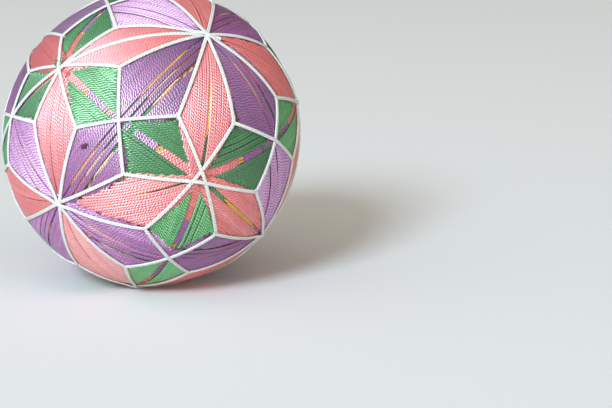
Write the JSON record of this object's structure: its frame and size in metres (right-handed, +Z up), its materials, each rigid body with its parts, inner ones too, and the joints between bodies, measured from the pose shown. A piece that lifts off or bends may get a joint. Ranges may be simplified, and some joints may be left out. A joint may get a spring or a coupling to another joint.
{
  "type": "temari ball",
  "caption": "Embroidered thread ball: pointed pink, purple and green stitched fields edged by raised white outline threads, with a small flat spot to rest on.",
  "frame": {"origin": "middle of the flat spot that the ball rests on, at the surface it stands on", "axes": "+Z up through the ball's centre, -Y towards the viewer of the pictured side, +X to that viewer's right"},
  "size_m": [0.0737, 0.0741, 0.0726],
  "materials": {
    "field_thread": "pearl cotton thread in pink, purple and green, laid side by side, with a soft sheen",
    "white_thread": "white pearl cotton thread, twisted, matt to soft sheen"
  },
  "bodies": {
    "root": {"ball": "field_thread", "outline": "white_thread"}
  },
  "joints": []
}
